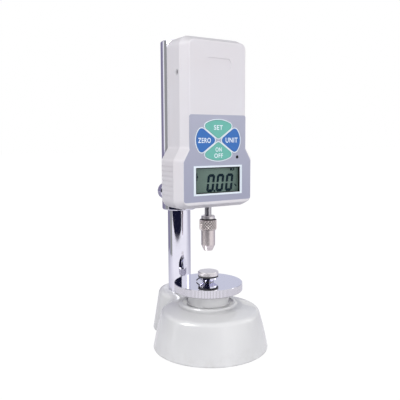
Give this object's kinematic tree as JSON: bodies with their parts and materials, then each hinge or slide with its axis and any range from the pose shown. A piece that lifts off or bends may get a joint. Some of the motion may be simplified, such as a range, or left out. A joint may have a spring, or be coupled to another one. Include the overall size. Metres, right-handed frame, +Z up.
{
  "type": "grain hardness tester",
  "caption": "Bench tester that crushes a grain between a screw-raised anvil and a chuck under a digital force gauge on a column.",
  "frame": {"origin": "centre of the footprint box at bench level", "axes": "+Z up, the display faces -Y, +X to the right as seen from the front"},
  "size_m": [0.0888, 0.1184, 0.2388],
  "materials": {
    "cast_paint": "light grey semi-gloss enamel on a casting",
    "zinc_plate": "zinc-plated sheet",
    "dark_steel": "blackened steel screws",
    "foot_rubber": "matt black rubber",
    "chrome": "polished chrome plate",
    "bright_steel": "ground steel",
    "nickel_steel": "satin nickel plate",
    "bearing_brass": "turned brass",
    "liner_plastic": "natural bearing plastic",
    "cap_plastic": "moulded light grey",
    "saddle_aluminium": "bead-blasted anodised",
    "case_plastic": "fine moulded texture, warm white",
    "overlay_film": "printed film, lavender grey",
    "white_print": "smooth white",
    "clear_lens": "clear window",
    "display_panel": "grey-green liquid crystal panel",
    "lamp_black": "dark moulded",
    "board_laminate": "green solder mask",
    "battery_wrap": "blue shrink wrap",
    "key_green": "sea green",
    "key_blue": "mid blue"
  },
  "bodies": {
    "base": {"base_casting": "cast_paint", "base_plate": "zinc_plate", "base_plate_screws": "dark_steel", "rubber_feet": "foot_rubber", "column": "chrome", "column_end_plug": "bright_steel", "column_bolt": "dark_steel", "wheel_bush": "bearing_brass", "wheel_thrust_washer": "bearing_brass", "guide_screw": "dark_steel"},
    "handwheel": {"handwheel": "chrome", "lift_nut": "bearing_brass", "wheel_retaining_ring": "dark_steel"},
    "anvil": {"lift_screw": "bright_steel", "stop_screw": "dark_steel", "anvil_collar": "chrome", "anvil_ring": "foot_rubber", "anvil_cap": "chrome", "anvil_cross_pin": "bright_steel"},
    "carriage": {"lower_liner": "liner_plastic", "upper_liner": "liner_plastic"},
    "lock_knob": {"lock_knob": "chrome"},
    "spindle": {"spindle": "bright_steel", "spindle_nut": "nickel_steel", "chuck_arbor": "nickel_steel", "chuck_shell": "nickel_steel", "collet": "nickel_steel"},
    "chuck_collar": {"chuck_collar": "nickel_steel"},
    "key_set": {"key_set": "key_green"},
    "key_zero": {"key_zero": "key_blue"},
    "key_unit": {"key_unit": "key_blue"},
    "key_power": {"key_power": "key_green"},
    "head": {"battery_pack": "battery_wrap", "board_screws": "dark_steel", "case_screws": "dark_steel", "charging_socket": "cap_plastic", "chassis": "zinc_plate", "chassis_screws": "dark_steel", "display_bezel": "white_print", "display_lens": "clear_lens", "display_module": "display_panel", "front_cover": "case_plastic", "front_overlay": "overlay_film", "gauge_screws": "dark_steel", "key_surround": "white_print", "key_switches": "lamp_black", "load_cell": "saddle_aluminium", "load_cell_screws": "dark_steel", "lock_boss": "chrome", "lock_pad": "bearing_brass", "lower_saddle": "saddle_aluminium", "main_board": "board_laminate", "mounting_plate": "zinc_plate", "rear_cover": "case_plastic", "saddle_screws": "dark_steel", "sleeve": "chrome", "sleeve_cap": "cap_plastic", "spindle_bush": "bearing_brass", "status_lamp": "lamp_black", "upper_saddle": "saddle_aluminium"}
  },
  "joints": [
    {"name": "handwheel_turn", "type": "hinge", "parent": "base", "child": "handwheel", "pos_m": [0, -0.01179, 0.0475], "axis": [0, 0, 1], "range_deg": [-2880, 45]},
    {"name": "anvil_lift", "type": "slide", "parent": "base", "child": "anvil", "axis": [0, 0, 1], "range_m": [-0.00026, 0.016]},
    {"name": "head_height", "type": "slide", "parent": "base", "child": "carriage", "axis": [0, 0, 1], "range_m": [0, 0.06]},
    {"name": "head_swing", "type": "hinge", "parent": "carriage", "child": "head", "pos_m": [0, 0.03358, 0.17], "axis": [0, 0, 1], "range_deg": [-60, 60]},
    {"name": "lock_knob_turn", "type": "hinge", "parent": "head", "child": "lock_knob", "pos_m": [0, 0.05221, 0.116], "axis": [0, 1, 0], "range_deg": [0, 540]},
    {"name": "spindle_push", "type": "slide", "parent": "head", "child": "spindle", "axis": [0, 0, 1], "range_m": [0, 0.0006], "stiffness_N_per_m": 3000, "springref_m": -0.0003},
    {"name": "chuck_collar_turn", "type": "hinge", "parent": "spindle", "child": "chuck_collar", "pos_m": [0, -0.01179, 0.0955], "axis": [0, 0, 1], "range_deg": [0, 540]},
    {"name": "key_set_press", "type": "slide", "parent": "head", "child": "key_set", "axis": [0, 1, 0], "range_m": [0, 0.0004], "stiffness_N_per_m": 400, "springref_m": -0.002},
    {"name": "key_zero_press", "type": "slide", "parent": "head", "child": "key_zero", "axis": [0, 1, 0], "range_m": [0, 0.0004], "stiffness_N_per_m": 400, "springref_m": -0.002},
    {"name": "key_unit_press", "type": "slide", "parent": "head", "child": "key_unit", "axis": [0, 1, 0], "range_m": [0, 0.0004], "stiffness_N_per_m": 400, "springref_m": -0.002},
    {"name": "key_power_press", "type": "slide", "parent": "head", "child": "key_power", "axis": [0, 1, 0], "range_m": [0, 0.0004], "stiffness_N_per_m": 400, "springref_m": -0.002}
  ],
  "couplings": [
    {"joint": "anvil_lift", "follows": "handwheel_turn", "m_per_rad": -0.00031831}
  ]
}
